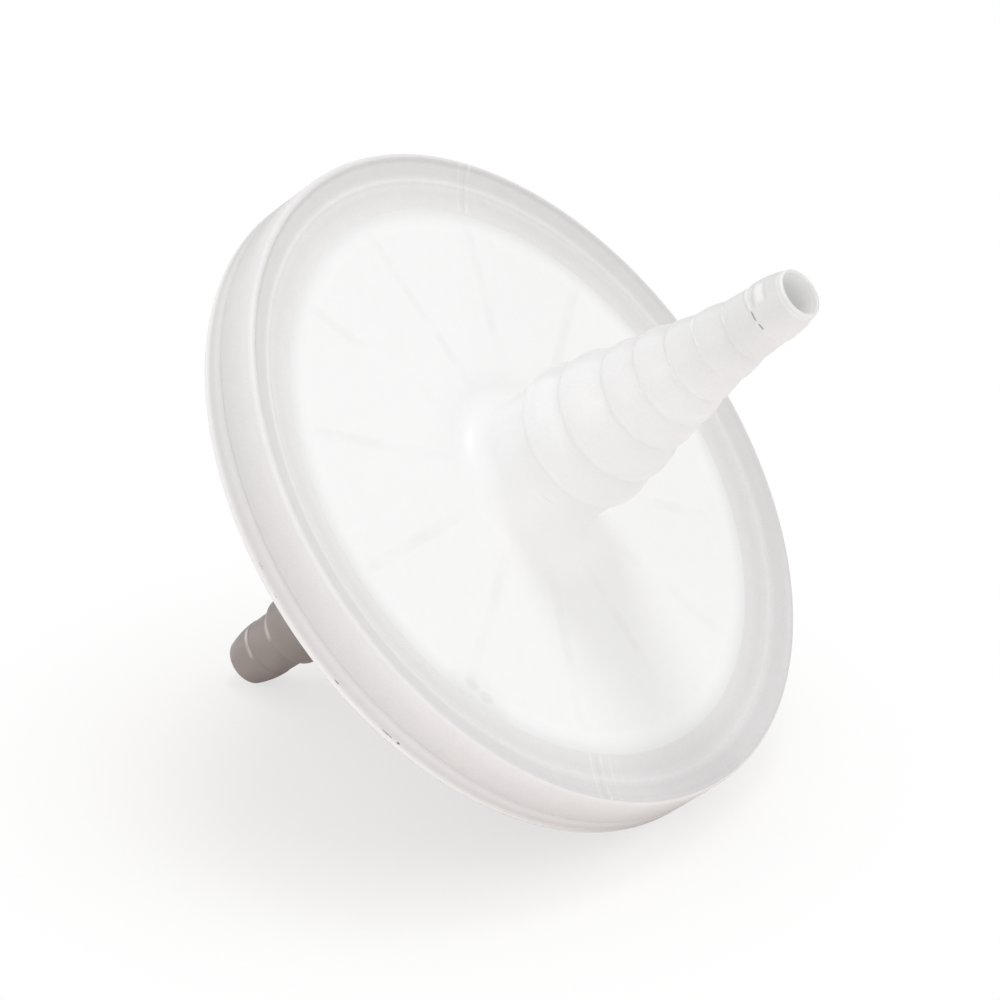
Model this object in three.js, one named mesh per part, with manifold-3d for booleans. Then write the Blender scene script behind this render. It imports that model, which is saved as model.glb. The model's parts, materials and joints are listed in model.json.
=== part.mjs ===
// Disc vent filter: two moulded shells with stepped hose barbs clamp a membrane and its two
// support discs, and a ring moulded over their flanges closes the rim. Millimetres, +Z up.
// Every piece is made about the filter's own axis (local +Z runs out through the inlet barb),
// and the whole filter is then laid down on its rim and the end of its outlet barb.

import * as THREE from "three";
import { mergeVertices } from "three/addons/utils/BufferGeometryUtils.js";
import Module from "manifold-3d";

const wasm = await Module();
wasm.setup();

// ---------------------------------------------------------------- driving sizes

// Between two pieces that touch on the real filter
const clearance = 0.3;

// Rim ring
const rimRadius = 32;
const rimThickness = 6.4;
const rimWall = 1.1; // outside the flanges
const shoulderWidth = 2.2; // sloping band from the rim's edge in to the flat of the lip
const faceRecess = 1.12; // how far the lip's flat lies below the rim's edge
const lipInnerRadius = 26.6; // the lip ends here and the window begins
const lipThickness = 0.7;
const partingFromRear = 2.3; // parting line round the side, from the rear edge
const partingWidth = 0.3;
const partingDepth = 0.15;

// Shells
const edgeRadius = 0.25; // round on the rim's edges and on the ends of the barbs
const windowWall = 0.7;
const windowRise = 0.5; // the window climbs this much from its edge to the foot of the barb
const chamberRadius = 25.4;
const flangeLandHeight = 0.15; // each flange's outer land, above the middle plane
const footFilletRadius = 3.2;
const inletNoseLength = 3.7; // from the last ridge to the open end
const outletNoseLength = 3.4;
const tipRadius = 2.3;
const boreTipRadius = 1.8;
const boreBaseRadius = 2.4;

// Ridges of a barb from the disc outwards: how far each edge lies beyond the one before it
// (the first, beyond the rim's edge), its radius, and how far it overhangs the neck behind it
const barbRidges = [
  { run: 6.0, radius: 6.75, undercut: 0.35 },
  { run: 4.1, radius: 6.15, undercut: 0.25 },
  { run: 4.4, radius: 5.15, undercut: 0.25 },
  { run: 3.4, radius: 4.6, undercut: 0.2 },
  { run: 3.3, radius: 3.9, undercut: 0.2 },
  { run: 3.0, radius: 3.42, undercut: 0.12 },
  { run: 3.0, radius: 2.92, undercut: 0.12 },
  { run: 3.0, radius: 2.87, undercut: 0.15 },
];

// Ribs inside each shell, which hold the support disc off the window
const ribCount = 12;
const ribWidth = 1.2;
const ribInnerRadius = 3.6;
const firstRibAngle = THREE.MathUtils.degToRad(25);

// Filter stack
const membraneThickness = 0.2;
const membraneClamp = 2.6; // how far the membrane reaches in between the flanges
const supportThickness = 0.2;

// Facets round each turned piece
const ringFacets = 72;
const shellFacets = 40;
const discFacets = 48;

// ---------------------------------------------------------------- places that follow

const rimEdge = rimThickness / 2; // heights are from the middle plane
const lipFace = rimEdge - faceRecess;
const lipUnderside = lipFace - lipThickness;
const lipOuterRadius = rimRadius - shoulderWidth;
const slotRadius = rimRadius - rimWall;

const flangeRadius = slotRadius - clearance;
const flangeTop = lipUnderside - clearance;
const windowRadius = lipInnerRadius - clearance;
const membraneRadius = chamberRadius + membraneClamp;
const clampLand = membraneThickness / 2 + clearance;

const supportRadius = chamberRadius - clearance;
const supportBottom = membraneThickness / 2 + clearance;
const ribCrest = supportBottom + supportThickness + clearance;

const hubRadius = barbRidges[0].radius - barbRidges[0].undercut;
const footRadius = hubRadius + footFilletRadius;
const footFace = lipFace + windowRise;
const ridgesReach = barbRidges.reduce((sum, ridge) => sum + ridge.run, 0);

// The line from the rim's edge to the end of the outlet barb lies level on the ground.
const halfFacet = (facets) => Math.cos(Math.PI / facets);
const lean = Math.atan2(
  rimRadius * halfFacet(ringFacets) - tipRadius * halfFacet(shellFacets),
  ridgesReach + outletNoseLength,
);

// ---------------------------------------------------------------- materials

const whitePlastic = new THREE.MeshStandardMaterial({ color: 0xf0efec, roughness: 0.45 });
const greyPlastic = new THREE.MeshStandardMaterial({ color: 0xbdb3ad, roughness: 0.45 });
const ringPlastic = new THREE.MeshStandardMaterial({ color: 0xe6e4e1, roughness: 0.5 });
const membraneFilm = new THREE.MeshStandardMaterial({ color: 0xfbfbfa, roughness: 0.8 });
const supportFleece = new THREE.MeshStandardMaterial({ color: 0xf4f4f2, roughness: 0.9 });

// ---------------------------------------------------------------- helpers

const point = (radius, height) => new THREE.Vector2(radius, height);

// Points of a round corner, from one angle to the other about its centre, in degrees
function corner(radius, height, size, from, to, steps) {
  return Array.from({ length: steps + 1 }, (_, i) => {
    const angle = THREE.MathUtils.degToRad(from + ((to - from) * i) / steps);
    return point(radius + size * Math.cos(angle), height + size * Math.sin(angle));
  });
}

// A profile of radius and height turned about +Z, with a flat facet towards local +X
function turned(profile, facets) {
  const geometry = new THREE.LatheGeometry(profile, facets, Math.PI / facets);
  return geometry.rotateX(Math.PI / 2);
}

function toSolid(geometry) {
  const bare = geometry.clone();
  bare.deleteAttribute("normal");
  bare.deleteAttribute("uv");
  const merged = mergeVertices(bare, 1e-4);
  const vertProperties = merged.attributes.position.array;
  const triVerts = new Uint32Array(merged.index.array);
  return new wasm.Manifold(new wasm.Mesh({ numProp: 3, vertProperties, triVerts }));
}

function toGeometry(solid) {
  const mesh = solid.getMesh();
  const geometry = new THREE.BufferGeometry();
  geometry.setAttribute("position", new THREE.BufferAttribute(mesh.vertProperties, 3));
  geometry.setIndex(new THREE.BufferAttribute(mesh.triVerts, 1));
  geometry.computeVertexNormals();
  return geometry;
}

function named(name, geometry, material) {
  const mesh = new THREE.Mesh(geometry, material);
  mesh.name = name;
  return mesh;
}

// ---------------------------------------------------------------- rim ring

// One lip's outline, from the side wall in over the shoulder to the slot
function lipProfile() {
  return [
    ...corner(rimRadius - edgeRadius, rimEdge - edgeRadius, edgeRadius, 0, 120, 4),
    point(lipOuterRadius, lipFace),
    point(lipInnerRadius, lipFace),
    point(lipInnerRadius, lipUnderside),
    point(slotRadius, lipUnderside),
  ];
}

function rimRing() {
  const front = lipProfile();
  const rear = front.map((p) => point(p.x, -p.y)).reverse();
  const parting = partingFromRear - rimEdge;
  const groove = [
    point(rimRadius, parting - partingWidth / 2),
    point(rimRadius - partingDepth, parting),
    point(rimRadius, parting + partingWidth / 2),
  ];
  return turned([...rear, ...groove, ...front, rear[0].clone()], ringFacets);
}

// ---------------------------------------------------------------- shells

// A barb from its foot on the window out to its open end. Between two ridges it swells from
// the neck of the outer ridge to the edge of the inner one.
function barbProfile(noseLength) {
  const tipHeight = rimEdge + ridgesReach + noseLength;
  const fillet = corner(footRadius, footFace + footFilletRadius, footFilletRadius, 270, 180, 4);
  const points = [...fillet];
  let height = rimEdge;
  barbRidges.forEach((ridge, i) => {
    height += ridge.run;
    const outer = barbRidges[i + 1];
    const neckRadius = outer ? outer.radius - outer.undercut : tipRadius;
    const run = outer ? outer.run : noseLength - edgeRadius;
    const swell = neckRadius + 0.75 * (ridge.radius - neckRadius);
    points.push(point(ridge.radius - ridge.undercut, height));
    points.push(point(ridge.radius, height));
    points.push(point(swell, height + run / 2));
  });
  points.push(...corner(tipRadius - edgeRadius, tipHeight - edgeRadius, edgeRadius, 0, 90, 3));
  points.push(point(boreTipRadius, tipHeight));
  return points;
}

// The shell's outline: up the bore side, out along the chamber, round the flange, back over
// the window and up the barb
function shellProfile(noseLength) {
  const ceilingHub = footFace - windowWall;
  const ceilingEdge = lipFace - windowWall;
  const start = point(boreBaseRadius, ceilingHub);
  return [
    start,
    point(footRadius, ceilingHub),
    point(chamberRadius, ceilingEdge),
    point(chamberRadius, clampLand),
    point(membraneRadius + clearance, clampLand),
    point(membraneRadius + clearance, flangeLandHeight),
    point(flangeRadius, flangeLandHeight),
    point(flangeRadius, flangeTop),
    point(windowRadius, flangeTop),
    point(windowRadius, lipFace),
    ...barbProfile(noseLength),
    start.clone(),
  ];
}

function rib() {
  const rootHub = footFace - windowWall / 2;
  const rootEdge = lipFace - windowWall / 2;
  const outline = new THREE.Shape([
    point(ribInnerRadius, ribCrest),
    point(chamberRadius + windowWall / 2, ribCrest),
    point(chamberRadius + windowWall / 2, rootEdge),
    point(footRadius, rootHub),
    point(ribInnerRadius, rootHub),
  ]);
  const plate = new THREE.ExtrudeGeometry(outline, { depth: ribWidth, bevelEnabled: false });
  return plate.translate(0, 0, -ribWidth / 2).rotateX(Math.PI / 2);
}

function shell(noseLength) {
  let solid = toSolid(turned(shellProfile(noseLength), shellFacets));
  for (let i = 0; i < ribCount; i++) {
    const angle = firstRibAngle + (i * 2 * Math.PI) / ribCount;
    solid = solid.add(toSolid(rib().rotateZ(angle)));
  }
  return toGeometry(solid);
}

// ---------------------------------------------------------------- filter stack

function disc(radius, bottom, thickness) {
  const top = bottom + thickness;
  const profile = [point(0, bottom), point(radius, bottom), point(radius, top), point(0, top)];
  return turned(profile, discFacets);
}

// ---------------------------------------------------------------- assembly

// One side of the filter: its shell and the support disc in its chamber
function side(prefix, plastic, noseLength) {
  const group = new THREE.Group();
  const support = disc(supportRadius, supportBottom, supportThickness);
  group.add(named(prefix + "_housing", shell(noseLength), plastic));
  group.add(named(prefix + "_support", support, supportFleece));
  return group;
}

const filter = new THREE.Group();
const inlet = side("inlet", whitePlastic, inletNoseLength);
const outlet = side("outlet", greyPlastic, outletNoseLength);
outlet.rotation.x = Math.PI; // faces the other way
const membrane = disc(membraneRadius, -membraneThickness / 2, membraneThickness);
filter.add(inlet, outlet);
filter.add(named("membrane", membrane, membraneFilm));
filter.add(named("rim_ring", rimRing(), ringPlastic));

// Laid down: the inlet barb points up towards +X, and the ground is at z = 0 below the middle.
filter.rotation.y = Math.PI / 2 - lean;
filter.updateMatrixWorld(true);
const reach = new THREE.Box3().setFromObject(filter, true);
const middle = reach.getCenter(new THREE.Vector3());
filter.position.set(-middle.x, -middle.y, -reach.min.z);

const group = new THREE.Group();
group.add(filter);

export default group;
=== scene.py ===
"""Disc vent filter: two moulded shells with stepped hose barbs clamp a membrane between them,
and a ring moulded over their flanges closes the rim. It lies on its rim and on the end of its
outlet barb, on a pale floor under soft light."""

import json
import math

import bpy
from mathutils import Matrix, Vector


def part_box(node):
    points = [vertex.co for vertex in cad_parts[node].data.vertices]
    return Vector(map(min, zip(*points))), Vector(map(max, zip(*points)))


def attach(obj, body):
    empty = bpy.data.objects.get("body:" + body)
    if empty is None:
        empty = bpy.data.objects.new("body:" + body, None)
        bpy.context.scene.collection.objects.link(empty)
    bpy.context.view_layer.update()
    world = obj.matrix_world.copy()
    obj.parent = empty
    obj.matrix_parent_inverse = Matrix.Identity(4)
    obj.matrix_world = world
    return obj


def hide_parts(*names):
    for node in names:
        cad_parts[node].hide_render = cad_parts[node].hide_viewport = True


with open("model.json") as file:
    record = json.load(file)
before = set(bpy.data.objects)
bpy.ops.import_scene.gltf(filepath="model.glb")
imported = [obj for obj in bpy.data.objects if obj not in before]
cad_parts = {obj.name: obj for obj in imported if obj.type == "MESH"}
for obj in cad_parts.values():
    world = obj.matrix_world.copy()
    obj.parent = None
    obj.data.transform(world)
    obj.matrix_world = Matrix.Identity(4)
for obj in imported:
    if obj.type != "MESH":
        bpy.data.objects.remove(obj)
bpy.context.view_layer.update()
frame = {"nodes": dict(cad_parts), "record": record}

bl_info = {
    "name": "Disc vent filter",
    "version": (1, 0, 0),
    "blender": (4, 5, 0),
    "location": "View3D > Sidebar > Vent filter",
    "description": "Makes a disc vent filter with stepped hose barbs and the stage it lies on",
    "category": "Add Mesh",
}

MM = 0.001

# ------------------------------------------------------------------ places from the frame

mounts = {mount["name"]: mount for mount in frame["record"]["mounts"]}
ring_low, ring_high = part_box("rim_ring")
film_low, film_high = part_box("membrane")

CENTRE = (film_low + film_high) / 2
AXIS = Vector(mounts["inlet_barb_end"]["axis"]).normalized()
TURN = (0, math.atan2(AXIS.x, AXIS.z), 0)
RIM_RADIUS = (ring_high.y - ring_low.y) / 2
INLET_TIP = (Vector(mounts["inlet_barb_end"]["pos_m"]) - CENTRE).dot(AXIS) / MM
OUTLET_TIP = -(Vector(mounts["outlet_barb_end"]["pos_m"]) - CENTRE).dot(AXIS) / MM

# Ridges of a barb from the disc outwards, in millimetres: how far each edge lies beyond the
# one before it (the first, beyond the rim's edge), its radius, how far it overhangs the neck
# behind it, the rounds on that edge and in the corner below it, and how evenly its flank
# falls to the next neck (1 is straight, 2 bulges)
INNER_RIDGES = (
    (6.0, 6.75, 0.35, 1.30, 0.25, 2.0),
    (4.1, 6.15, 0.22, 1.10, 0.25, 1.8),
    (4.4, 5.15, 0.22, 0.90, 0.25, 1.8),
    (3.4, 4.60, 0.18, 0.70, 0.20, 1.8),
    (3.3, 3.90, 0.15, 0.50, 0.20, 1.1),
)
INLET_RIDGES = (
    *INNER_RIDGES,
    (3.0, 3.38, 0.09, 0.20, 0.12, 1.8),
    (3.0, 2.90, 0.08, 0.15, 0.10, 1.3),
    (3.0, 2.84, 0.10, 0.18, 0.10, 1.9),
)
OUTLET_RIDGES = (
    *INNER_RIDGES,
    (3.0, 3.40, 0.09, 0.20, 0.12, 10.0),
    (3.3, 2.80, 0.03, 0.15, 0.10, 1.3),
    (2.7, 2.78, 0.05, 0.18, 0.10, 1.9),
)


def from_srgb(red, green, blue):
    """A colour written as 0 to 255 per channel, as Blender holds it."""

    def linear(value):
        share = value / 255
        return share / 12.92 if share <= 0.04045 else ((share + 0.055) / 1.055) ** 2.4

    return (linear(red), linear(green), linear(blue))


# ------------------------------------------------------------------ what a user would change


def length(name, description, default):
    return bpy.props.FloatProperty(
        name=name, description=description, default=default, unit="LENGTH", precision=5
    )


def colour(name, description, red, green, blue):
    return bpy.props.FloatVectorProperty(
        name=name,
        description=description,
        default=from_srgb(red, green, blue),
        subtype="COLOR",
        size=3,
        min=0,
        max=1,
    )


class VentFilterSizes(bpy.types.PropertyGroup):
    """Sizes of the filter."""

    rim_radius: length("Rim radius", "Outer radius of the rim ring", RIM_RADIUS)
    rim_thickness: length("Rim thickness", "Thickness of the rim ring", 6.4 * MM)
    shoulder: length("Shoulder", "Width of the sloping band inside the rim's edge", 2.55 * MM)
    shoulder_drop: length("Shoulder drop", "Fall of the sloping band to the fine line", 0.8 * MM)
    recess: length("Face recess", "Depth of the window's margin below the rim's edge", 1.12 * MM)
    lip_radius: length("Lip radius", "Where the lip ends and the window begins", 26.5 * MM)
    window_rise: length("Window rise", "Climb of the window up to the barb's foot", 0.5 * MM)
    wall: length("Wall", "Thickness of the window and of the lip", 0.7 * MM)
    foot_fillet: length("Foot fillet", "Round between the window and the barb", 2.4 * MM)
    tip_radius: length("Tip radius", "Outer radius at the open end of a barb", 2.293 * MM)
    bore_radius: length("Bore radius", "Radius of the opening in a barb's end", 1.98 * MM)
    rib_width: length("Rib width", "Thickness of the ribs inside a shell", 1.2 * MM)
    rib_count: bpy.props.IntProperty(
        name="Ribs", description="Ribs inside a shell", default=12, min=3
    )
    first_rib: bpy.props.FloatProperty(
        name="First rib",
        description="Angle of the first rib",
        default=math.radians(25),
        subtype="ANGLE",
    )


class VentFilterColours(bpy.types.PropertyGroup):
    """Colours of the filter and of its floor."""

    window: colour("Window", "Inlet shell over the membrane", 250, 250, 250)
    barb: colour("Inlet barb", "Barb on the white shell", 246, 245, 245)
    rim: colour("Rim ring", "Ring moulded over the flanges", 240, 238, 238)
    grey: colour("Outlet shell", "Warm grey outlet shell and barb", 172, 162, 157)
    film: colour("Membrane", "Filter membrane", 250, 250, 249)
    fleece: colour("Support", "Support discs", 244, 244, 242)
    floor: colour("Floor", "Floor under the filter", 243, 239, 237)


# ------------------------------------------------------------------ nodes


class Value:
    """An output socket that Python's own arithmetic works on."""

    def __init__(self, nodes, socket):
        self.nodes = nodes
        self.socket = socket

    def __add__(self, other):
        return self.nodes.math("ADD", self, other)

    def __sub__(self, other):
        return self.nodes.math("SUBTRACT", self, other)

    def __rsub__(self, other):
        return self.nodes.math("SUBTRACT", other, self)

    def __mul__(self, other):
        return self.nodes.math("MULTIPLY", self, other)

    def __truediv__(self, other):
        return self.nodes.math("DIVIDE", self, other)

    def __mod__(self, other):
        return self.nodes.math("FLOORED_MODULO", self, other)

    def __pow__(self, other):
        return self.nodes.math("POWER", self, other)

    def __abs__(self):
        return self.nodes.math("ABSOLUTE", self)

    __radd__ = __add__
    __rmul__ = __mul__


class Nodes:
    """Adds nodes to one tree."""

    def __init__(self, tree):
        self.tree = tree

    def add(self, kind, settings=None, values=None, output=0):
        """One node: its settings first, then the values or links of its sockets."""
        node = self.tree.nodes.new(kind)
        for name, setting in (settings or {}).items():
            if name == "stops":
                self.set_stops(node.color_ramp.elements, setting)
            else:
                setattr(node, name, setting)
        for key, value in (values or {}).items():
            if isinstance(value, Value):
                self.tree.links.new(value.socket, node.inputs[key])
            else:
                node.inputs[key].default_value = value
        return Value(self, node.outputs[output]) if len(node.outputs) else node

    def set_stops(self, elements, stops):
        while len(elements) < len(stops):
            elements.new(0.5)
        for element, (place, tone) in zip(elements, stops):
            element.position = place
            element.color = (tone, tone, tone, 1)

    def math(self, operation, *values):
        return self.add("ShaderNodeMath", {"operation": operation}, dict(enumerate(values)))

    def smooth(self, value, low, high):
        """0 below low and 1 above high, with a soft step between."""
        sockets = {"Value": value, "From Min": low, "From Max": high}
        return self.add("ShaderNodeMapRange", {"interpolation_type": "SMOOTHSTEP"}, sockets)

    def line(self, value, place, width):
        """1 at the place, falling softly to 0 half a width away."""
        return 1 - self.smooth(abs(value - place), 0, width / 2)

    def mix(self, factor, first, second, blend="MIX"):
        sockets = {0: factor, 6: first, 7: second}
        return self.add("ShaderNodeMix", {"data_type": "RGBA", "blend_type": blend}, sockets, 2)

    def tint(self, tone, shade):
        """The colour darkened by a tone that changes over the surface."""
        grey = self.add("ShaderNodeCombineColor", {}, {0: tone, 1: tone, 2: tone})
        return self.mix(1.0, shade, grey, "MULTIPLY")

    def along(self, value, first, last, tones):
        """A tone from a table of places and tones, where first and last are the table's ends."""
        span = last - first
        stops = [((place - first) / span, tone) for place, tone in tones]
        return self.add("ShaderNodeValToRGB", {"stops": stops}, {0: (value - first) / span})


# ------------------------------------------------------------------ geometry trees


def new_tree(name, inputs):
    """A geometry tree with these named inputs, besides the geometry in and out."""
    tree = bpy.data.node_groups.new(name, "GeometryNodeTree")
    interface = tree.interface
    interface.new_socket("Geometry", in_out="INPUT", socket_type="NodeSocketGeometry")
    for label, kind in inputs:
        interface.new_socket(label, in_out="INPUT", socket_type=kind)
    interface.new_socket("Geometry", in_out="OUTPUT", socket_type="NodeSocketGeometry")
    nodes = Nodes(tree)
    group_in = tree.nodes.new("NodeGroupInput")
    sockets = {s.name: Value(nodes, s) for s in group_in.outputs if s.name}
    return nodes, sockets


def end_tree(nodes, geometry, sockets):
    """Lays the piece in its place and ends the tree."""
    turned = nodes.add(
        "GeometryNodeTransform",
        {},
        {"Geometry": geometry, "Translation": sockets["Centre"], "Rotation": sockets["Turn"]},
    )
    plain = nodes.add("GeometryNodeRealizeInstances", {}, {0: turned})
    shading = {0: plain, "Shade Smooth": sockets["Smooth"]}
    smooth = nodes.add("GeometryNodeSetShadeSmooth", {}, shading)
    dressed = nodes.add("GeometryNodeSetMaterial", {}, {0: smooth, "Material": sockets["Material"]})
    group_out = nodes.tree.nodes.new("NodeGroupOutput")
    nodes.tree.links.new(dressed.socket, group_out.inputs[0])
    return nodes.tree


PLACEMENT = (
    ("Centre", "NodeSocketVector"),
    ("Turn", "NodeSocketRotation"),
    ("Smooth", "NodeSocketBool"),
    ("Material", "NodeSocketMaterial"),
)


def turned_tree():
    """Turns a closed outline, drawn as points of radius and height, about the filter's axis."""
    nodes, sockets = new_tree("Turned piece", (("Facets", "NodeSocketInt"), *PLACEMENT))
    outline = sockets["Geometry"]
    count = nodes.add("GeometryNodeAttributeDomainSize", {"component": "MESH"}, {0: outline})
    rows = count + 1
    columns = sockets["Facets"] + 1
    sheet = nodes.add("GeometryNodeMeshGrid", {}, {"Vertices X": columns, "Vertices Y": rows})
    index = nodes.add("GeometryNodeInputIndex")
    step = nodes.math("FLOOR", (index + 0.5) / rows)
    along = nodes.math("ROUND", index - step * rows) % count
    position = nodes.add("GeometryNodeInputPosition")
    point = nodes.add(
        "GeometryNodeSampleIndex",
        {"data_type": "FLOAT_VECTOR", "domain": "POINT"},
        {0: outline, "Value": position, "Index": along},
    )
    angle = step * (2 * math.pi) / sockets["Facets"]
    place = nodes.add(
        "ShaderNodeVectorRotate", {"rotation_type": "Z_AXIS"}, {"Vector": point, "Angle": angle}
    )
    wrapped = nodes.add("GeometryNodeSetPosition", {}, {0: sheet, "Position": place})
    closed = nodes.add("GeometryNodeMergeByDistance", {}, {0: wrapped, "Distance": 0.002 * MM})
    return end_tree(nodes, closed, sockets)


def ribs_tree():
    """Sets copies of one rib round the filter's axis."""
    inputs = (("Count", "NodeSocketInt"), ("First angle", "NodeSocketFloat"), *PLACEMENT)
    nodes, sockets = new_tree("Ribs round the hub", inputs)
    points = nodes.add("GeometryNodePoints", {}, {"Count": sockets["Count"]})
    index = nodes.add("GeometryNodeInputIndex")
    angle = sockets["First angle"] + index * (2 * math.pi) / sockets["Count"]
    facing = nodes.add("ShaderNodeCombineXYZ", {}, {"Z": angle})
    copies = nodes.add(
        "GeometryNodeInstanceOnPoints",
        {},
        {"Points": points, "Instance": sockets["Geometry"], "Rotation": facing},
    )
    return end_tree(nodes, copies, sockets)


def bead_tree():
    """A fine raised line along a path, thinning to nothing at its ends."""
    nodes, sockets = new_tree("Raised line", (("Width", "NodeSocketFloat"), *PLACEMENT))
    path = nodes.add("GeometryNodeMeshToCurve", {}, {0: sockets["Geometry"]})
    share = nodes.add("GeometryNodeSplineParameter")
    swell = nodes.math("SINE", (share * 0.98 + 0.01) * math.pi) ** 0.5
    section = nodes.add("GeometryNodeCurvePrimitiveCircle", {}, {"Resolution": 10, "Radius": 0.5})
    line = nodes.add(
        "GeometryNodeCurveToMesh",
        {},
        {
            "Curve": path,
            "Profile Curve": section,
            "Scale": swell * sockets["Width"],
            "Fill Caps": True,
        },
    )
    return end_tree(nodes, line, sockets)


def grown(name, points, edges, faces, tree, values, material):
    """A plain mesh object that a tree makes from these points, given in millimetres."""
    mesh = bpy.data.meshes.new(name + "_outline")
    mesh.from_pydata([[value * MM for value in point] for point in points], edges, faces)
    seed = bpy.data.objects.new(name + "_outline", mesh)
    bpy.context.scene.collection.objects.link(seed)
    modifier = seed.modifiers.new("Shape", "NODES")
    modifier.node_group = tree
    placed = {"Centre": CENTRE, "Turn": TURN, "Smooth": True, "Material": material}
    for item in tree.interface.items_tree:
        if item.in_out == "INPUT" and item.name in {**placed, **values}:
            modifier[item.identifier] = {**placed, **values}[item.name]
    bpy.context.view_layer.update()
    evaluated = seed.evaluated_get(bpy.context.evaluated_depsgraph_get())
    plain = bpy.data.meshes.new_from_object(evaluated)
    plain.name = name
    plain.materials.clear()
    plain.materials.append(material)
    seed.modifiers.remove(modifier)
    bpy.data.objects.remove(seed)
    bpy.data.meshes.remove(mesh)
    piece = bpy.data.objects.new(name, plain)
    bpy.context.scene.collection.objects.link(piece)
    return piece


def joined(name, pieces):
    """One object from several, in the order given."""
    bpy.ops.object.select_all(action="DESELECT")
    for piece in pieces:
        piece.select_set(True)
    bpy.context.view_layer.objects.active = pieces[0]
    bpy.ops.object.join()
    whole = pieces[0]
    whole.name = name
    whole.data.name = name
    return whole


# ------------------------------------------------------------------ outlines, in millimetres

RING_FACETS, SHELL_FACETS = 320, 224

def arc(radius, height, size, start, stop, steps):
    """Points of a round corner about its centre, from one angle to the other in degrees."""
    angles = [math.radians(start + (stop - start) * i / steps) for i in range(steps + 1)]
    return [(radius + size * math.cos(a), height + size * math.sin(a)) for a in angles]


def guarded(outline, guard=0.06, shortest=0.4):
    """A closed outline with a point close to each end of every long straight stretch, which
    keeps the smooth shading of the corners out of the flats."""
    points = []
    for first, second in zip(outline, outline[1:] + outline[:1]):
        points.append(first)
        span = math.dist(first, second)
        if span > shortest:
            for share in (guard / span, 1 - guard / span):
                points.append(tuple(a + (b - a) * share for a, b in zip(first, second)))
    return points


def bump(value, place, width):
    """A soft hump of height 1."""
    return math.exp(-(((value - place) / width) ** 2))


def spread(first, last, steps):
    return [first + (last - first) * i / steps for i in range(steps + 1)]


def turned(name, outline, facets, values, material):
    """A piece turned from its outline of radius and height."""
    points = [(radius, 0, height) for radius, height in guarded(outline)]
    count = len(points)
    edges = [(i, (i + 1) % count) for i in range(count)]
    values = {"Facets": facets, **values}
    return grown(name, points, edges, [], turned_tree(), values, material)


EDGE_ROUND = 0.25
FRONT_ROUND, REAR_ROUND = 0.45, 0.3  # rounds of the rim's two edges
GROOVE_BEHIND = 4.12  # the parting groove, behind the front edge of the rim
BEAD_BEHIND = 4.75  # the slight bead next to it
REAR_STEP = 0.02  # the rear lip lies this far inside the side wall
GROOVE_DEPTH = 0.1
RING_LINE = 0.07  # height of the fine bead between the shoulder and the lip's flat
SEAT = 0.08  # the window under the lip's edge lies this much below its flat
OVERLAP = 0.9  # how far the lip reaches over the window's margin inside it
RIM_WALL = 1.1  # outside the flanges


def lip_height(radius, sizes):
    """Height of the ring's face above the middle plane."""
    edge = sizes["rim_thickness"] / 2
    corner = sizes["rim_radius"] - sizes["shoulder"]
    drop = sizes["shoulder_drop"]
    if radius > corner:
        height = edge - (sizes["rim_radius"] - radius) * drop / sizes["shoulder"]
    else:
        share = (corner - radius) / (corner - sizes["lip_radius"])
        fall = sizes["recess"] + SEAT + 0.03 - drop
        height = edge - drop - fall * share * (1.3 - 0.3 * share)
    return height + RING_LINE * bump(radius, corner, 0.2)


def ring_face(sizes, edge_round):
    """The ring's face from its edge in to the slot, on the side of positive heights."""
    edge = sizes["rim_thickness"] / 2
    radius = sizes["rim_radius"]
    corner = radius - sizes["shoulder"]
    under = edge - sizes["recess"] - sizes["wall"]
    tilt = 90 + math.degrees(math.atan2(sizes["shoulder_drop"], sizes["shoulder"]))
    rounds = arc(radius - edge_round, edge - edge_round, edge_round, 0, tilt, 9)
    radii = [
        *spread(radius - 0.7, corner + 0.5, 4),
        *spread(corner + 0.4, corner - 0.4, 16),
        *spread(corner - 0.5, sizes["lip_radius"] + 0.05, 14),
    ]
    face = [(r, lip_height(r, sizes)) for r in radii]
    buried = edge - sizes["recess"] - SEAT - 0.06
    hidden = sizes["lip_radius"] + OVERLAP
    inner = [(sizes["lip_radius"], buried), (hidden, buried), (hidden, under)]
    return [*rounds, *face, *inner, (radius - RIM_WALL, under)]


def ring_outline(sizes):
    edge = sizes["rim_thickness"] / 2
    radius = sizes["rim_radius"]
    front = ring_face(sizes, FRONT_ROUND)
    rear = [(r, -h) for r, h in ring_face(sizes, REAR_ROUND)]
    rear = [(r - REAR_STEP if r > radius - 0.6 else r, h) for r, h in rear]
    rear.reverse()
    groove, bead = edge - GROOVE_BEHIND, edge - BEAD_BEHIND

    def side(height):
        step = REAR_STEP / (1 + math.exp((height - bead + 0.3) / 0.05))
        return radius - GROOVE_DEPTH * bump(height, groove, 0.11) - step

    heights = [
        *spread(-edge + REAR_ROUND + 0.06, bead - 0.6, 4),
        *spread(bead - 0.5, groove + 0.35, 28),
        *spread(groove + 0.6, edge - FRONT_ROUND - 0.06, 4),
    ]
    return [*rear, *[(side(h), h) for h in heights], *front]


def step_out(below, radius, height, corner_round, edge_round):
    """An S of two rounds from the neck out to a ridge's edge."""
    rise = radius - below
    both = corner_round + edge_round
    turn = min(90, math.degrees(math.acos(max(0, 1 - rise / both))))
    inner = arc(below + corner_round, height - corner_round, corner_round, 180, 180 - turn, 5)
    outer_height = inner[-1][1] + edge_round * math.sin(math.radians(turn))
    outer = arc(radius - edge_round, outer_height, edge_round, 360 - turn, 360, 6)
    return [*inner, *outer]


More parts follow.
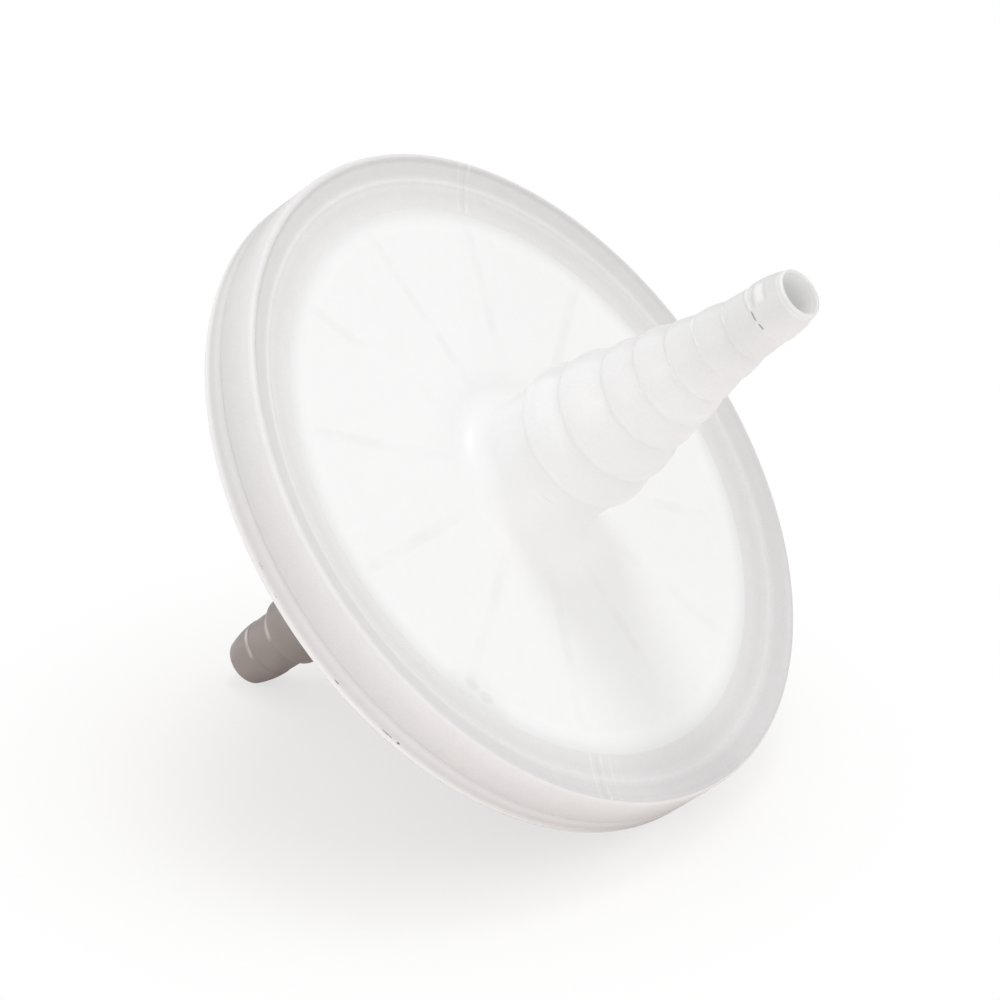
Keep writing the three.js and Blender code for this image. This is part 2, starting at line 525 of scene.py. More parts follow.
def barb_outline(sizes, flat, tip, ridges):
    """The outside of a barb, from its foot on the window to the edge of its bore."""
    fillet = sizes["foot_fillet"]
    hub = ridges[0][1] - ridges[0][2]
    foot = flat + sizes["window_rise"]
    points = arc(hub + fillet, foot + fillet, fillet, 270, 180, 24)
    height = sizes["rim_thickness"] / 2
    for i, (run, radius, hollow, edge_round, corner_round, swell) in enumerate(ridges):
        height += run
        if i == len(ridges) - 1:
            above = sizes["tip_radius"]
            end = tip - EDGE_ROUND
        else:
            above = ridges[i + 1][1] - ridges[i + 1][2]
            end = height + ridges[i + 1][0] - ridges[i + 1][4]
        points += step_out(radius - hollow, radius, height, corner_round, edge_round)
        start = points[-1][1] + 0.08
        for share in spread(0, 0.97, 8 if swell < 4 else 20):
            out = above + (radius - above) * (1 - share**swell)
            points.append((out, start + (end - start) * share))
    points += arc(sizes["tip_radius"] - EDGE_ROUND, tip - EDGE_ROUND, EDGE_ROUND, 0, 90, 6)
    points += arc(sizes["bore_radius"] + 0.08, tip - 0.08, 0.08, 90, 180, 4)
    return points


CHAMBER_RADIUS = 25.4
CHAMBER_FLOOR = 0.4  # height of the clamping face over the middle plane
MEMBRANE_SEAT = 28.3  # the membrane's pocket reaches out to this radius
FLANGE_LAND = 0.15  # height of the flange's outer face over the middle plane
FLANGE_INSET = 1.4  # the flange ends this far inside the rim
PIECE_GAP = 0.3  # between two pieces that touch
BORE_FOOT_RADIUS = 2.4
BORE_FOOT_ROUND = 0.4
RIB_CREST = 0.9  # height of the ribs' inner edge over the middle plane
RIB_START, RIB_END = 3.6, 25.7


def shell_outline(sizes, tip, ridges):
    """A shell's outline: over the window, up the barb, down its bore and round the flange."""
    edge = sizes["rim_thickness"] / 2
    flat = edge - sizes["recess"]
    foot = flat + sizes["window_rise"]
    ceiling, ceiling_edge = foot - sizes["wall"], flat - sizes["wall"]
    window_radius = sizes["lip_radius"] + OVERLAP - 0.05
    seat = flat - SEAT
    foot_radius = ridges[0][1] - ridges[0][2] + sizes["foot_fillet"]
    flange_radius = sizes["rim_radius"] - FLANGE_INSET
    flange_top = flat - sizes["wall"] - PIECE_GAP
    round_at = BORE_FOOT_RADIUS + BORE_FOOT_ROUND, ceiling + BORE_FOOT_ROUND
    return [
        (window_radius, flange_top),
        (window_radius, seat),
        (sizes["lip_radius"] - 0.1, seat),
        *barb_outline(sizes, flat, tip, ridges),
        *arc(*round_at, BORE_FOOT_ROUND, 180, 270, 4),
        (foot_radius, ceiling),
        (CHAMBER_RADIUS, ceiling_edge),
        (CHAMBER_RADIUS, CHAMBER_FLOOR),
        (MEMBRANE_SEAT, CHAMBER_FLOOR),
        (MEMBRANE_SEAT, FLANGE_LAND),
        (flange_radius, FLANGE_LAND),
        (flange_radius, flange_top),
    ]


def rib_plate(sizes):
    """Points and faces of one rib, standing across local +X."""
    edge = sizes["rim_thickness"] / 2
    flat = edge - sizes["recess"]
    top = flat + sizes["window_rise"] - sizes["wall"] / 2
    low = flat - sizes["wall"] / 2
    foot = INNER_RIDGES[0][1] - INNER_RIDGES[0][2] + sizes["foot_fillet"]
    side = [
        (RIB_START, RIB_CREST),
        (RIB_END, RIB_CREST),
        (RIB_END, low),
        (foot, top),
        (RIB_START, top),
    ]
    half = sizes["rib_width"] / 2
    points = [(r, -half, h) for r, h in side] + [(r, half, h) for r, h in side]
    count = len(side)
    faces = [tuple(range(count)), tuple(range(2 * count - 1, count - 1, -1))]
    faces += [(i, i + count, (i + 1) % count + count, (i + 1) % count) for i in range(count)]
    return points, faces


# ------------------------------------------------------------------ materials


def new_finish(name, settings):
    """A material with one Principled shader, set to these plain values."""
    material = bpy.data.materials.new(name)
    material.use_nodes = True
    tree = material.node_tree
    tree.nodes.clear()
    shader = tree.nodes.new("ShaderNodeBsdfPrincipled")
    for key, value in settings.items():
        shader.inputs[key].default_value = value
    output = tree.nodes.new("ShaderNodeOutputMaterial")
    tree.links.new(shader.outputs[0], output.inputs["Surface"])
    return material, Nodes(tree), shader


def in_filter(nodes):
    """The filter's own coordinates in millimetres: the point, its radius, angle and height."""
    coordinates = nodes.add("ShaderNodeTexCoord", output="Object")
    point = nodes.add(
        "ShaderNodeMapping",
        {"vector_type": "TEXTURE"},
        {"Vector": coordinates, "Location": CENTRE, "Rotation": TURN, "Scale": (MM, MM, MM)},
    )
    split = nodes.add("ShaderNodeSeparateXYZ", {}, {0: point})
    x, y, z = [Value(nodes, split.socket.node.outputs[i]) for i in range(3)]
    radius = nodes.math("SQRT", x * x + y * y)
    angle = nodes.math("ARCTAN2", y, x) * math.degrees(1)
    return point, radius, angle, z


def grain(nodes, point, shader, size, strength, distance):
    """A fine moulded grain on the surface."""
    pattern = nodes.add(
        "ShaderNodeTexNoise",
        {"noise_dimensions": "3D"},
        {"Vector": point, "Scale": 1 / size, "Detail": 3.0, "Roughness": 0.6},
    )
    bumped = nodes.add(
        "ShaderNodeBump", {}, {"Height": pattern, "Strength": strength, "Distance": distance}
    )
    nodes.tree.links.new(bumped.socket, shader.inputs["Normal"])
    return pattern


def noise(nodes, point, size, detail=2.0):
    return nodes.add(
        "ShaderNodeTexNoise", {}, {"Vector": point, "Scale": 1 / size, "Detail": detail}
    )


SATIN = {
    "Roughness": 0.38,
    "IOR": 1.49,
    "Subsurface Radius": (1.0, 1.0, 1.0),
    "Subsurface Scale": 1.0 * MM,
}

# Dark flecks in the rear lip of the ring: angle about the axis in degrees, distance behind
# the front edge, length round the rim and height in millimetres, and how dark
FLECKS = (
    (-104, 5.55, 0.8, 0.30, 0.35),
    (-99, 5.70, 0.5, 0.16, 0.35),
    (-83, 5.65, 0.9, 0.16, 0.75),
    (-72, 5.62, 1.9, 0.13, 0.75),
    (-69.6, 5.60, 0.4, 0.30, 0.9),
)

# Strokes where the plastic met in the mould, across the ring's face: angle at the middle of
# the face, its turn for each millimetre outwards, width in millimetres and how much lighter
FACE_MIDDLE = 29
KNIT_STROKES = (
    (-33.1, -0.5, 0.35, 0.12),
    (-34.3, -0.5, 0.30, -0.05),
    (-35.6, -0.4, 0.35, 0.05),
    (-30.9, -0.5, 0.30, 0.04),
    (143.7, -0.2, 0.35, 0.10),
    (144.6, -0.2, 0.30, -0.05),
    (145.9, -0.2, 0.30, 0.05),
)


def speckle(nodes, point):
    """The finest unevenness of the moulded plastic."""
    return (noise(nodes, point, 0.2, 2.0) - 0.5) * 0.08


def fleck_at(nodes, angle, depth, sizes, at, behind, long, tall, strength):
    across = (angle - at) * (math.radians(sizes["rim_radius"]) / (long / 2))
    down = (depth - behind) / (tall / 2)
    return (1 - nodes.smooth(across * across + down * down, 0.2, 1.2)) * strength


def knit_strokes(nodes, angle, radius):
    total = 0
    for at, turn, width, gain in KNIT_STROKES:
        off = abs((angle - at - (radius - FACE_MIDDLE) * turn) * math.radians(1)) * radius
        total = (1 - nodes.smooth(off, width * 0.2, width * 0.6)) * gain + total
    return total * nodes.smooth(radius, 26.7, 27.5)


# Tones down the rim's side: distance behind the front edge in millimetres, and tone. The tones are
# painted light: a painted highlight near the front edge fading down the side, painted shade in the
# parting groove, and a painted highlight along the rear edge.
SIDE_TONES = (
    (0.0, 1.03),
    (0.3, 1.04),
    (0.5, 1.04),
    (1.0, 1.03),
    (2.0, 0.98),
    (3.0, 0.94),
    (3.84, 0.90),
    (4.08, 0.88),
    (4.23, 0.90),
    (4.5, 0.98),
    (4.9, 0.95),
    (5.15, 0.91),
    (5.45, 0.90),
    (5.65, 0.98),
    (5.9, 1.13),
    (6.3, 1.14),
)
# Tones across the ring's face: radius and tone. Painted shade darkens the dish inside the fine
# bead, and painted highlights lighten the bead and the front edge.
FACE_TONES = (
    (26.78, 1.02),
    (27.2, 0.98),
    (27.8, 0.92),
    (28.4, 0.89),
    (29.24, 0.92),
    (29.45, 0.95),
    (29.66, 0.92),
    (30.08, 0.85),
    (31.52, 0.85),
    (31.82, 0.90),
    (31.94, 0.93),
)
FLECK_COLOUR = (0.06, 0.06, 0.06, 1)


def ring_finish(colours, sizes):
    """Ring: tones across its face and down its side, knit strokes and dark flecks."""
    settings = {**SATIN, "Roughness": 0.42, "Subsurface Weight": 0.1, "Coat Roughness": 0.25}
    material, nodes, shader = new_finish("ring_plastic", settings)
    point, radius, angle, height = in_filter(nodes)
    depth = sizes["rim_thickness"] / 2 - height
    face = nodes.along(radius, 26, 32, FACE_TONES)
    # Painted light: the face is lighter towards one side (about -155 degrees) and darker towards
    # the other.
    painted_face_light = nodes.math("COSINE", (angle + 155) * math.radians(1)) * 0.05 + 1
    side = nodes.along(depth, 0, 6.4, SIDE_TONES)
    # Painted light: the side is lighter towards the lower side and darker towards the top, with a
    # painted dark reflection on its upper part further behind the front edge.
    painted_side_light = nodes.math("COSINE", (angle + 15) * math.radians(1)) * 0.05 + 0.96
    painted_side_light = painted_side_light - nodes.smooth(abs(angle), 150, 172) * nodes.smooth(depth, 1.6, 2.6) * 0.08
    on_side = nodes.smooth(radius, sizes["rim_radius"] - 0.26, sizes["rim_radius"] - 0.16)
    tone = nodes.mix(on_side, nodes.tint(painted_face_light, face), nodes.tint(painted_side_light, side))
    mottle = noise(nodes, point, 1.6, 4.0) * 0.06 + 0.97 + speckle(nodes, point)
    flecks = 0
    for mark in FLECKS:
        flecks = nodes.math("MAXIMUM", flecks, fleck_at(nodes, angle, depth, sizes, *mark))
    ragged = nodes.smooth(noise(nodes, point, 0.25), 0.35, 0.55)
    knit = knit_strokes(nodes, angle, radius)
    shade = nodes.mix(1.0, (*colours["rim"], 1), tone, "MULTIPLY")
    shade = nodes.tint(mottle + knit * (1 - on_side), shade)
    flecked = nodes.mix(flecks * ragged * on_side, shade, FLECK_COLOUR)
    nodes.tree.links.new(flecked.socket, shader.inputs["Base Color"])
    polish = nodes.smooth(depth, 5.55, 5.85) * on_side
    nodes.tree.links.new(polish.socket, shader.inputs["Coat Weight"])
    grain(nodes, point, shader, 0.35, 0.25, 0.03 * MM)
    return material


def ribs_seen(nodes, radius, angle, sizes):
    """Where the ribs inside the shell show faintly through the window."""
    step = 360 / sizes["rib_count"]
    first = math.degrees(sizes["first_rib"])
    off = (angle - first + step / 2) % step - step / 2
    across = radius * nodes.math("SINE", off * math.radians(1))
    line = 1 - nodes.smooth(abs(across), sizes["rib_width"] * 0.25, sizes["rib_width"] * 0.65)
    reach = nodes.smooth(radius, 7, 14) * (1 - nodes.smooth(radius, 25.0, 26.0))
    return line * reach


def near(nodes, value, place, width):
    """1 within half a width of the place, with soft ends."""
    return 1 - nodes.smooth(abs(value - place), width * 0.35, width * 0.6)


def ridge_height(index):
    """How far a ridge's edge lies beyond the rim's edge."""
    return sum(ridge[0] for ridge in INLET_RIDGES[: index + 1])


BORE_TAPER = 0.45 / 33  # how much the bore's radius grows for each millimetre inwards


def in_bore(nodes, radius, depth, sizes):
    """1 inside a barb's bore."""
    wall = depth * BORE_TAPER + sizes["bore_radius"]
    return 1 - nodes.smooth(radius - wall, 0.02, 0.08)


# Marks of the mould on the white barb, with painted highlights along the ridge edges, on the first
# ridge and at the tip, and painted shade in the notches beside them: distance beyond the rim's
# edge, its change for each degree, angle, span of angle, width and gain
BARB_MARKS_AND_PAINTED_LIGHT = (
    (3.6, 0.009, -70, 20, 0.24, 0.12),
    (3.95, 0.009, -68, 14, 0.18, -0.07),
    (8.6, 0.0, -142, 44, 1.60, 0.03),
    (21.2, 0.0, -134, 42, 0.24, 0.16),
    (24.1, 0.009, -140, 58, 0.24, 0.16),
    (27.25, 0.007, -144, 46, 0.22, 0.18),
    (30.15, 0.011, -146, 56, 0.26, 0.18),
    (29.8, 0.011, -146, 50, 0.22, -0.06),
    (30.9, 0.0, -142, 50, 0.30, -0.09),
    (31.6, 0.003, -140, 40, 0.90, 0.10),
    (31.6, 0.003, -140, 34, 0.50, 0.12),
    (32.2, 0.0, -140, 44, 0.30, -0.05),
    (30.45, 0.0, -104, 18, 0.16, -0.50),
    (30.50, 0.0, -82, 13, 0.16, -0.50),
    (33.45, 0.0, -100, 260, 0.30, 0.05),
    # Painted light that evens out the shade in the notches on the lower side
    *[(ridge_height(i) - 0.1, 0.0, -65, 116, 0.45, 0.09) for i in range(1, 5)],
    *[(ridge_height(i) - 0.05, 0.0, -60, 116, 0.25, 0.06) for i in (5, 6)],
)
# Tones along the white barb: distance beyond the rim's edge, and tone. The lift near the foot is
# painted light that evens out the shade round it.
BARB_TONES = (
    (0.0, 1.06),
    (4.0, 1.07),
    (8.0, 1.03),
    (14.0, 1.02),
    (19.0, 0.98),
    (23.0, 0.96),
    (27.0, 0.945),
    (30.0, 0.935),
    (33.0, 0.84),
)
# Soft spots of shade on the window's margin: angle, radius, size and strength
SMUDGES = ((-64.3, 25.3, 1.6, 0.07), (-60.6, 25.6, 1.6, 0.07), (-62.5, 26.2, 7.0, 0.05))


def barb_marks_and_painted_light(nodes, angle, height):
    """Marks of the mould, painted highlights and painted shade by the ridges, and painted shade on
    the side that faces away upwards.
    """
    total = nodes.smooth(abs(angle), 152, 176) * -0.09
    for place, climb, at, span, width, gain in BARB_MARKS_AND_PAINTED_LIGHT:
        level = height - (angle - at) * climb
        total = near(nodes, angle, at, span) * near(nodes, level, place, width) * gain + total
    return total


def smudges(nodes, angle, radius):
    total = 0
    for at, place, size, strength in SMUDGES:
        across = (angle - at) * math.radians(1) * radius / (size / 2)
        along = (radius - place) / (size / 3)
        total = (1 - nodes.smooth(across * across + along * along, 0.1, 1.6)) * strength + total
    return total


def white_finish(colours, sizes):
    """White shell: the window lies over the pale supports, and light soaks into the barb."""
    material, nodes, shader = new_finish("white_plastic", SATIN)
    soft = nodes.tree.nodes.new("ShaderNodeBsdfPrincipled")
    soaked = {"Roughness": 0.3, "Subsurface Weight": 0.9, "Subsurface Scale": 1.6 * MM}
    for key, value in {**SATIN, **soaked}.items():
        soft.inputs[key].default_value = value
    point, radius, angle, height = in_filter(nodes)
    cloud = noise(nodes, point, 5.0, 3.0)
    fine = noise(nodes, point, 0.9, 3.0)
    ribs = ribs_seen(nodes, radius, angle, sizes)
    # Painted highlight: a faint light line where the chamber's edge shows through the window.
    chamber_highlight = nodes.line(radius, 24.9, 0.7)
    margin = nodes.smooth(radius, 25.2, 27.1)
    tone = 1 - ribs * nodes.smooth(cloud, 0.35, 0.65) * 0.04 + chamber_highlight * 0.01 - margin * 0.11
    tone = tone + (fine - 0.5) * 0.03 - smudges(nodes, angle, radius)
    depth = INLET_TIP - height
    bore = in_bore(nodes, radius, depth, sizes)
    # Painted highlight on the barb's open end.
    edge = 1 - nodes.smooth(depth, 0.12, 0.3)
    # Painted light: the barb and the window round its foot are lighter on the lower side and darker
    # on the upper side.
    painted_barb_light = nodes.math("COSINE", angle * math.radians(1)) * 0.065
    hub = 1 - nodes.smooth(radius, 8, 12)
    window = nodes.tint(tone + painted_barb_light * hub * 0.7, (*colours["window"], 1))
    beyond = height - sizes["rim_thickness"] / 2
    fall = nodes.along(beyond, 0, 40, BARB_TONES)
    barb_tone = (fine - 0.5) * 0.03 + speckle(nodes, point) + fall
    barb_tone = barb_tone + barb_marks_and_painted_light(nodes, angle, beyond) + edge * 0.2 + painted_barb_light
    # Painted light lifts the bore's wall; painted shade darkens it deep inside and along a thin
    # line just inside its mouth.
    bore_light_and_shade = nodes.smooth(depth, 0.0, 2.4) * 0.06 + 1.12 - nodes.smooth(depth, 5.0, 7.0) * 0.4
    bore_light_and_shade = bore_light_and_shade - nodes.line(depth, 0.35, 0.5) * 0.15
    barb_tone = barb_tone * (1 - bore) + bore_light_and_shade * bore
    barb = nodes.tint(barb_tone, (*colours["barb"], 1))
    on_barb = nodes.smooth(beyond, 0.6, 5.5)
    shade = nodes.mix(on_barb, window, barb)
    for one in (shader, soft):
        nodes.tree.links.new(shade.socket, one.inputs["Base Color"])
        grain(nodes, point, one, 0.5, 0.2, 0.03 * MM)
    both = nodes.add(
        "ShaderNodeMixShader",
        {},
        {
            0: on_barb,
            1: Value(nodes, shader.outputs[0]),
            2: Value(nodes, soft.outputs[0]),
        },
    )
    output = next(n for n in nodes.tree.nodes if n.type == "OUTPUT_MATERIAL")
    nodes.tree.links.new(both.socket, output.inputs["Surface"])
    return material


# Painted pale highlights round the grey barb, along the edges of two ridges: distance behind the
# rim's rear edge, angle, span of angle, width and strength
PALE_RIDGE_HIGHLIGHTS = (
    (30.5, -128, 64, 0.4, 0.8),
    (27.3, -136, 64, 0.9, 0.75),
)
# Colour of the painted highlights on the grey barb
RIDGE_HIGHLIGHT_COLOUR = (*from_srgb(214, 211, 209), 1)


def grey_finish(colours, sizes):
    """Warm grey shell, with painted highlights along the edges of two ridges and painted shade at
    the foot, along the top and along the lower side.
    """
    material, nodes, shader = new_finish("grey_plastic", {**SATIN, "Subsurface Weight": 0.1})
    point, radius, angle, height = in_filter(nodes)
    cloud = noise(nodes, point, 3.0, 3.0)
    behind = 0 - height - sizes["rim_thickness"] / 2
    # Painted highlights along the ridge edges
    ridge_highlight = 0
    for place, at, span, width, strength in PALE_RIDGE_HIGHLIGHTS:
        edge = near(nodes, behind, place, width)
        ridge_highlight = edge * near(nodes, angle, at, span) * strength + ridge_highlight
    tone = (cloud - 0.5) * 0.2 + 0.9 + speckle(nodes, point)
    # Painted shade: darker at the foot next to the disc, along the top and along the lower side.
    foot = 1 - nodes.smooth(behind, 0, 21)
    upper_shade = nodes.smooth(abs(angle), 128, 165) * (1 - nodes.smooth(behind, 31.5, 33.0))
    lower_shade = 1 - nodes.smooth(abs(angle), 0, 40)
    tone = tone - foot * 0.12 - upper_shade * 0.3 - lower_shade * 0.1
    shade = nodes.tint(tone, (*colours["grey"], 1))
    shade = nodes.mix(ridge_highlight * nodes.smooth(cloud, 0.25, 0.45), shade, RIDGE_HIGHLIGHT_COLOUR)
    nodes.tree.links.new(shade.socket, shader.inputs["Base Color"])
    grain(nodes, point, shader, 0.5, 0.2, 0.03 * MM)
    return material


def film_finish(colours):
    """Porous membrane: matt, with a fine irregular skin."""
    material, nodes, shader = new_finish("membrane_film", {"Roughness": 0.75})
    point, radius, angle, height = in_filter(nodes)
    shade = nodes.tint((noise(nodes, point, 0.4) - 0.5) * 0.05 + 1, (*colours["film"], 1))
    nodes.tree.links.new(shade.socket, shader.inputs["Base Color"])
    grain(nodes, point, shader, 0.15, 0.4, 0.02 * MM)
    return material


def fleece_finish(colours):
    """Support fleece: short crossing fibres."""
    material, nodes, shader = new_finish("support_fibre", {"Roughness": 0.9})
    point, radius, angle, height = in_filter(nodes)
    fibre = nodes.add(
        "ShaderNodeTexVoronoi",
        {"feature": "DISTANCE_TO_EDGE"},
        {"Vector": point, "Scale": 2.2},
    )
    weave = nodes.smooth(fibre, 0.0, 0.12)
    shade = nodes.tint(weave * 0.12 + 0.88, (*colours["fleece"], 1))
    nodes.tree.links.new(shade.socket, shader.inputs["Base Color"])
    bumped = nodes.add(
        "ShaderNodeBump", {}, {"Height": weave, "Strength": 0.5, "Distance": 0.05 * MM}
    )
    nodes.tree.links.new(bumped.socket, shader.inputs["Normal"])
    return material


# ------------------------------------------------------------------ operators


def chosen(context):
    """The sizes in millimetres (counts and angles as they are), and the colours."""
    scene = context.scene
    sizes = {}
    for name in VentFilterSizes.__annotations__:
        value = getattr(scene.vent_filter_sizes, name)
        sizes[name] = value if name in ("rib_count", "first_rib") else value / MM
    colours = {
        name: tuple(getattr(scene.vent_filter_colours, name))
        for name in VentFilterColours.__annotations__
    }
    return sizes, colours


def finished(piece, node):
    """Sets the piece to move with the root, and hides the node of the frame that it replaces."""
    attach(piece, "root")
    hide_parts(node)
    return piece


def ribs(name, sizes, values, material):
    """All the ribs inside one shell."""
    points, faces = rib_plate(sizes)
    values = {
        "Count": sizes["rib_count"],
        "First angle": sizes["first_rib"],
        "Smooth": False,
        **values,
    }
    return grown(name, points, [], faces, ribs_tree(), values, material)


class VENTFILTER_OT_rim_ring(bpy.types.Operator):
    """Make the ring moulded over the flanges"""

    bl_idname = "vent_filter.rim_ring"
    bl_label = "Rim ring"

    def execute(self, context):
        sizes, colours = chosen(context)
        material = ring_finish(colours, sizes)
        ring = turned("ring_body", ring_outline(sizes), RING_FACETS, {}, material)
        parts = [ring]
        for i, stroke in enumerate((KNIT_STROKES[0], KNIT_STROKES[4])):
            parts.append(knit_line(f"knit_{i}", stroke, sizes, material))
        finished(joined("rim_ring_moulded", parts), "rim_ring")
        return {"FINISHED"}


def knit_line(name, stroke, sizes, material):
    """The fine line where the plastic met in the mould, across the ring's face."""
    sunk = 0.08
    points = []
    for r in spread(sizes["rim_radius"] - 0.6, sizes["lip_radius"] + 0.6, 24):
        a = math.radians(stroke[0] + (r - FACE_MIDDLE) * stroke[1])
        points.append((r * math.cos(a), r * math.sin(a), lip_height(r, sizes) - sunk))
    edges = [(i, i + 1) for i in range(len(points) - 1)]
    return grown(name, points, edges, [], bead_tree(), {"Width": 0.2 * MM}, material)


class VENTFILTER_OT_inlet_shell(bpy.types.Operator):
    """Make the white shell with its window, ribs and barb"""

    bl_idname = "vent_filter.inlet_shell"
    bl_label = "Inlet shell"

    def execute(self, context):
        sizes, colours = chosen(context)
        material = white_finish(colours, sizes)
        outline = shell_outline(sizes, INLET_TIP, INLET_RIDGES)
        body = turned("inlet_body", outline, SHELL_FACETS, {}, material)
        inside = ribs("inlet_ribs", sizes, {}, material)
        finished(joined("inlet_shell_moulded", [body, inside]), "inlet_housing")
        return {"FINISHED"}


class VENTFILTER_OT_outlet_shell(bpy.types.Operator):
    """Make the grey shell on the far side"""

    bl_idname = "vent_filter.outlet_shell"
    bl_label = "Outlet shell"

    def execute(self, context):
        sizes, colours = chosen(context)
        material = grey_finish(colours, sizes)
        facing = {"Turn": (0, TURN[1] + math.pi, 0)}
        outline = shell_outline(sizes, OUTLET_TIP, OUTLET_RIDGES)
        body = turned("outlet_body", outline, SHELL_FACETS, facing, material)
        inside = ribs("outlet_ribs", sizes, facing, material)
        finished(joined("outlet_shell_moulded", [body, inside]), "outlet_housing")
        return {"FINISHED"}


class VENTFILTER_OT_filter_stack(bpy.types.Operator):
    """Give the membrane and its two support discs their finishes"""

    bl_idname = "vent_filter.filter_stack"
    bl_label = "Membrane and supports"

    def execute(self, context):
        sizes, colours = chosen(context)
        dress(frame["nodes"]["membrane"], film_finish(colours))
        fleece = fleece_finish(colours)
        dress(frame["nodes"]["inlet_support"], fleece)
        dress(frame["nodes"]["outlet_support"], fleece)
        return {"FINISHED"}


def dress(node, material):
    """Gives a node of the frame its finish."""
    node.data.materials.clear()
    node.data.materials.append(material)


# The camera looks at a point close to the middle of the rim's front edge
VIEW_AZIMUTH, VIEW_ELEVATION = math.radians(28.5), math.radians(25.92)
VIEW_DISTANCE = 441.36 * MM
AIM_LEFT, AIM_DOWN = 2.93 * MM, 2.54 * MM
LENS = 180.4
SENSOR = 36.0


def add_camera(context, sizes):
    azimuth, elevation = VIEW_AZIMUTH, VIEW_ELEVATION
    right = Vector((math.cos(azimuth), math.sin(azimuth), 0))
    back = Vector(
        (
            math.sin(azimuth) * math.cos(elevation),
            -math.cos(azimuth) * math.cos(elevation),
            math.sin(elevation),
        )
    )
    up = back.cross(right)
    middle = CENTRE + AXIS * (sizes["rim_thickness"] / 2 * MM)
    aim = middle - right * AIM_LEFT - up * AIM_DOWN
    data = bpy.data.cameras.new("camera")
    data.lens = LENS
    data.sensor_width = SENSOR
    data.clip_start, data.clip_end = 0.02, 50
    camera = bpy.data.objects.new("camera", data)
    camera.matrix_world = Matrix.Translation(aim + back * VIEW_DISTANCE) @ Matrix(
        (right, up, back)
    ).transposed().to_4x4()
    context.scene.collection.objects.link(camera)
    context.scene.camera = camera


# Seen directly, the floor is part plain white: least around one spot under the filter and
# most beyond it. Distances are in metres.
FLOOR_SPOT = (-0.005, -0.006, 0)
SPOT_EDGE, SPOT_END = 0.014, 0.049
SPOT_SHARE, FLOOR_SHARE = 0.61, 1.0
FLOOR_HALF = 6.0


def floor_finish(colours):
    """Pale floor. Seen directly it is brighter and keeps only a soft share of the shadow."""
    material, nodes, shader = new_finish("pale_floor", {"Roughness": 0.9})
    shader.inputs["Specular IOR Level"].default_value = 0.0
    shader.inputs["Base Color"].default_value = (*colours["floor"], 1)
    rays = nodes.add("ShaderNodeLightPath", output="Is Camera Ray")
    lit = nodes.add("ShaderNodeEmission", {}, {"Color": (1, 1, 1, 1), "Strength": 1.0})
    seen = Value(nodes, shader.outputs[0])
    place = nodes.add("ShaderNodeTexCoord", output="Object")
    ends = {0: place, 1: FLOOR_SPOT}
    away = nodes.add("ShaderNodeVectorMath", {"operation": "DISTANCE"}, ends, "Value")
    share = nodes.smooth(away, SPOT_EDGE, SPOT_END) * (FLOOR_SHARE - SPOT_SHARE) + SPOT_SHARE
    both = nodes.add("ShaderNodeMixShader", {}, {0: rays * share, 1: seen, 2: lit})
    output = next(n for n in nodes.tree.nodes if n.type == "OUTPUT_MATERIAL")
    nodes.tree.links.new(both.socket, output.inputs["Surface"])
    return material


def add_floor(context, colours):
    half = FLOOR_HALF
    corners = [(-half, -half, 0), (half, -half, 0), (half, half, 0), (-half, half, 0)]
    mesh = bpy.data.meshes.new("floor")
    mesh.from_pydata(corners, [], [(0, 1, 2, 3)])
    mesh.materials.append(floor_finish(colours))
    floor = bpy.data.objects.new("floor", mesh)
    context.scene.collection.objects.link(floor)


SKY_LIGHT = 0.80  # strength of the sky as a light


def add_world(context):
    """An even white sky. Seen directly or in a reflection it is plain white."""
    world = bpy.data.worlds.new("studio")
    world.use_nodes = True
    nodes = Nodes(world.node_tree)
    world.node_tree.nodes.clear()
    paths = nodes.add("ShaderNodeLightPath", output="Is Camera Ray")
    outputs = paths.socket.node.outputs
    glossy = Value(nodes, outputs["Is Glossy Ray"])
    through = Value(nodes, outputs["Is Transmission Ray"])
    direct = nodes.math("MAXIMUM", nodes.math("MAXIMUM", paths, glossy), through)
    strength = direct * (1.0 - SKY_LIGHT) + SKY_LIGHT
    sky = nodes.add("ShaderNodeBackground", {}, {"Color": (1, 1, 1, 1), "Strength": strength})
    output = world.node_tree.nodes.new("ShaderNodeOutputWorld")
    nodes.tree.links.new(sky.socket, output.inputs["Surface"])
    context.scene.world = world


# Soft lamps: name, place from the filter's middle in metres, size in metres and power in watts
LAMPS = (
    ("overhead", (0.02, 0.12, 0.9), 0.32, 1.60),
    ("near", (-0.035, -0.16, 0.12), 0.13, 0.022),
    ("low", (0.11, -0.11, -0.01), 0.08, 0.012),
)


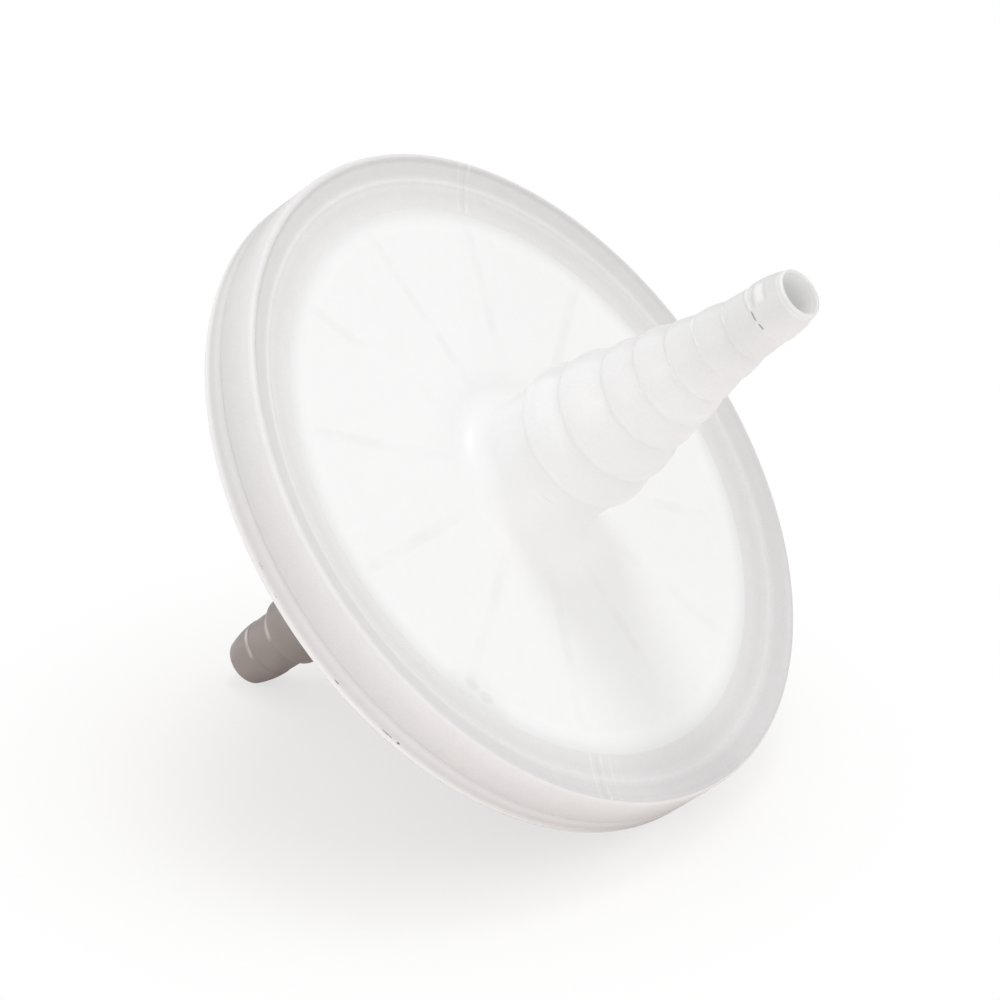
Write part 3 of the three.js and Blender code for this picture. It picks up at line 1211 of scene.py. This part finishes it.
def add_lamps(context):
    for name, offset, size, power in LAMPS:
        data = bpy.data.lights.new(name, "AREA")
        data.shape = "DISK"
        data.size = size
        data.energy = power
        lamp = bpy.data.objects.new(name, data)
        lamp.location = CENTRE + Vector(offset)
        lamp.rotation_mode = "QUATERNION"
        lamp.rotation_quaternion = Vector(offset).to_track_quat("Z", "Y")
        context.scene.collection.objects.link(lamp)


class VENTFILTER_OT_stage(bpy.types.Operator):
    """Set up the floor, the light and the camera"""

    bl_idname = "vent_filter.stage"
    bl_label = "Stage"

    def execute(self, context):
        sizes, colours = chosen(context)
        add_camera(context, sizes)
        add_floor(context, colours)
        add_world(context)
        add_lamps(context)
        context.scene.view_settings.view_transform = "Standard"
        return {"FINISHED"}


OPERATORS = (
    VENTFILTER_OT_stage,
    VENTFILTER_OT_rim_ring,
    VENTFILTER_OT_inlet_shell,
    VENTFILTER_OT_outlet_shell,
    VENTFILTER_OT_filter_stack,
)


class VENTFILTER_PT_panel(bpy.types.Panel):
    """Lists the pieces of the filter with their sizes and colours"""

    bl_idname = "VENTFILTER_PT_panel"
    bl_label = "Disc vent filter"
    bl_space_type = "VIEW_3D"
    bl_region_type = "UI"
    bl_category = "Vent filter"

    def draw(self, context):
        for operator in OPERATORS:
            self.layout.operator(operator.bl_idname)
        for group in (context.scene.vent_filter_sizes, context.scene.vent_filter_colours):
            box = self.layout.box()
            for name in type(group).__annotations__:
                box.prop(group, name)


CLASSES = (VentFilterSizes, VentFilterColours, *OPERATORS, VENTFILTER_PT_panel)


def register():
    for cls in CLASSES:
        bpy.utils.register_class(cls)
    bpy.types.Scene.vent_filter_sizes = bpy.props.PointerProperty(type=VentFilterSizes)
    bpy.types.Scene.vent_filter_colours = bpy.props.PointerProperty(type=VentFilterColours)


def unregister():
    del bpy.types.Scene.vent_filter_colours
    del bpy.types.Scene.vent_filter_sizes
    for cls in reversed(CLASSES):
        bpy.utils.unregister_class(cls)


def main():
    register()
    bpy.ops.vent_filter.stage()
    bpy.ops.vent_filter.rim_ring()
    bpy.ops.vent_filter.inlet_shell()
    bpy.ops.vent_filter.outlet_shell()
    bpy.ops.vent_filter.filter_stack()


if __name__ == "__main__":
    main()
